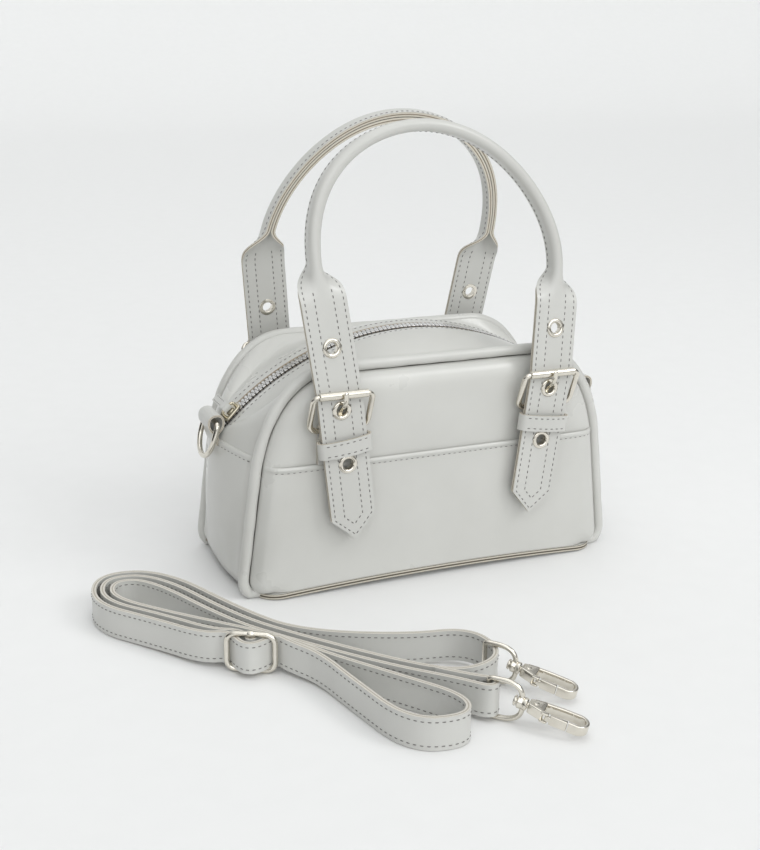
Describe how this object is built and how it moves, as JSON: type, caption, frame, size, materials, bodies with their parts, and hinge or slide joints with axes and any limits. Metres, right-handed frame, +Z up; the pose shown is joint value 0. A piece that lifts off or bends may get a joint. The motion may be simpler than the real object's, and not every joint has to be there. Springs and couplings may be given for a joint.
{
  "type": "top handle bag",
  "caption": "Small bowling-style handbag with a zipped top, buckled carry handles, end rings and a detachable shoulder strap with snap hooks.",
  "frame": {"origin": "middle of the base on the surface the bag stands on, without the loose strap", "axes": "+X to the right of the front face, +Y to the back, +Z up"},
  "size_m": [0.3166, 0.3, 0.2527],
  "materials": {
    "leather": "smooth semi-gloss",
    "lining_cloth": "plain woven",
    "zip_cloth": "woven tape",
    "zip_metal": "nickel plated",
    "nickel": "polished nickel",
    "stiffener": "plain"
  },
  "bodies": {
    "bag": {"back_left_buckle_frame": "nickel", "back_left_chape": "leather", "back_left_strap_end": "leather", "back_panel_lower": "leather", "back_panel_upper": "leather", "back_piping": "leather", "back_right_buckle_frame": "nickel", "back_right_chape": "leather", "back_right_strap_end": "leather", "back_top_gusset": "leather", "back_zip_tape": "zip_cloth", "back_zip_teeth": "zip_metal", "base_board": "stiffener", "base_panel": "leather", "front_left_buckle_frame": "nickel", "front_left_chape": "leather", "front_left_strap_end": "leather", "front_panel_lower": "leather", "front_panel_upper": "leather", "front_piping": "leather", "front_right_buckle_frame": "nickel", "front_right_chape": "leather", "front_right_strap_end": "leather", "front_top_gusset": "leather", "front_zip_tape": "zip_cloth", "front_zip_teeth": "zip_metal", "left_ring_tab": "leather", "left_side_gusset": "leather", "lining": "lining_cloth", "right_ring_tab": "leather", "right_side_gusset": "leather", "strap_end_eyelets": "nickel", "strap_keepers": "leather", "zip_stops": "zip_metal"},
    "front_handle": {"front_handle": "leather", "front_handle_eyelets": "nickel"},
    "back_handle": {"back_handle": "leather", "back_handle_eyelets": "nickel"},
    "front_left_roller": {"front_left_roller": "nickel"},
    "front_left_prong": {"front_left_prong": "nickel"},
    "front_right_roller": {"front_right_roller": "nickel"},
    "front_right_prong": {"front_right_prong": "nickel"},
    "back_left_roller": {"back_left_roller": "nickel"},
    "back_left_prong": {"back_left_prong": "nickel"},
    "back_right_roller": {"back_right_roller": "nickel"},
    "back_right_prong": {"back_right_prong": "nickel"},
    "left_d_ring": {"left_d_ring": "nickel"},
    "right_d_ring": {"right_d_ring": "nickel"},
    "zip_slider": {"zip_slider": "nickel"},
    "zip_pull": {"zip_pull": "leather"},
    "shoulder_strap": {"shoulder_strap": "leather", "strap_adjuster": "nickel", "rear_hook_eye": "nickel", "front_hook_eye": "nickel"},
    "rear_hook": {"rear_hook_body": "nickel"},
    "rear_hook_gate": {"rear_hook_gate": "nickel"},
    "front_hook": {"front_hook_body": "nickel"},
    "front_hook_gate": {"front_hook_gate": "nickel"}
  },
  "joints": [
    {"name": "front_handle_hinge", "type": "hinge", "parent": "bag", "child": "front_handle", "pos_m": [0, -0.06005, 0.1156], "axis": [1, 0, 0], "range_deg": [-10, 80]},
    {"name": "back_handle_hinge", "type": "hinge", "parent": "bag", "child": "back_handle", "pos_m": [0, 0.06005, 0.1156], "axis": [-1, 0, 0], "range_deg": [-10, 80]},
    {"name": "front_left_roller_spin", "type": "hinge", "parent": "bag", "child": "front_left_roller", "pos_m": [-0.062, -0.06005, 0.1156], "axis": [1, 0, 0], "continuous": true},
    {"name": "front_left_prong_hinge", "type": "hinge", "parent": "bag", "child": "front_left_prong", "pos_m": [-0.062, -0.05145, 0.0946], "axis": [1, 0, 0], "range_deg": [0, 2]},
    {"name": "front_right_roller_spin", "type": "hinge", "parent": "bag", "child": "front_right_roller", "pos_m": [0.062, -0.06005, 0.1156], "axis": [1, 0, 0], "continuous": true},
    {"name": "front_right_prong_hinge", "type": "hinge", "parent": "bag", "child": "front_right_prong", "pos_m": [0.062, -0.05145, 0.0946], "axis": [1, 0, 0], "range_deg": [0, 2]},
    {"name": "back_left_roller_spin", "type": "hinge", "parent": "bag", "child": "back_left_roller", "pos_m": [-0.062, 0.06005, 0.1156], "axis": [1, 0, 0], "continuous": true},
    {"name": "back_left_prong_hinge", "type": "hinge", "parent": "bag", "child": "back_left_prong", "pos_m": [-0.062, 0.05145, 0.0946], "axis": [-1, 0, 0], "range_deg": [0, 2]},
    {"name": "back_right_roller_spin", "type": "hinge", "parent": "bag", "child": "back_right_roller", "pos_m": [0.062, 0.06005, 0.1156], "axis": [1, 0, 0], "continuous": true},
    {"name": "back_right_prong_hinge", "type": "hinge", "parent": "bag", "child": "back_right_prong", "pos_m": [0.062, 0.05145, 0.0946], "axis": [-1, 0, 0], "range_deg": [0, 2]},
    {"name": "left_d_ring_swing", "type": "hinge", "parent": "bag", "child": "left_d_ring", "pos_m": [-0.116, 0, 0.091], "axis": [0, 1, 0], "range_deg": [-10, 104]},
    {"name": "right_d_ring_swing", "type": "hinge", "parent": "bag", "child": "right_d_ring", "pos_m": [0.116, 0, 0.091], "axis": [0, -1, 0], "range_deg": [-10, 104]},
    {"name": "zip_slide", "type": "hinge", "parent": "bag", "child": "zip_slider", "pos_m": [0, 0, -0.017], "axis": [0, 1, 0], "range_deg": [0, 86.8]},
    {"name": "zip_pull_flip", "type": "hinge", "parent": "zip_slider", "child": "zip_pull", "pos_m": [-0.10732, 0, 0.09649], "axis": [0.7266, 0, 0.6871], "range_deg": [0, 170]},
    {"name": "strap_lift", "type": "slide", "parent": "bag", "child": "shoulder_strap", "axis": [0, 0, 1], "range_m": [0, 0.06]},
    {"name": "rear_hook_swivel", "type": "hinge", "parent": "shoulder_strap", "child": "rear_hook", "pos_m": [-0.02187, -0.18078, 0.011], "axis": [0.6456, -0.7348, -0.2079], "continuous": true},
    {"name": "rear_hook_gate_hinge", "type": "hinge", "parent": "rear_hook", "child": "rear_hook_gate", "pos_m": [-0.01835, -0.19267, 0.00861], "axis": [0.1372, -0.1562, 0.9781], "range_deg": [0, 24], "stiffness_Nm_per_rad": 0.02},
    {"name": "front_hook_swivel", "type": "hinge", "parent": "shoulder_strap", "child": "front_hook", "pos_m": [-0.03544, -0.2116, 0.011], "axis": [0.6965, -0.6868, -0.2079], "continuous": true},
    {"name": "front_hook_gate_hinge", "type": "hinge", "parent": "front_hook", "child": "front_hook_gate", "pos_m": [-0.03109, -0.2232, 0.00861], "axis": [0.148, -0.146, 0.9781], "range_deg": [0, 24], "stiffness_Nm_per_rad": 0.02}
  ]
}
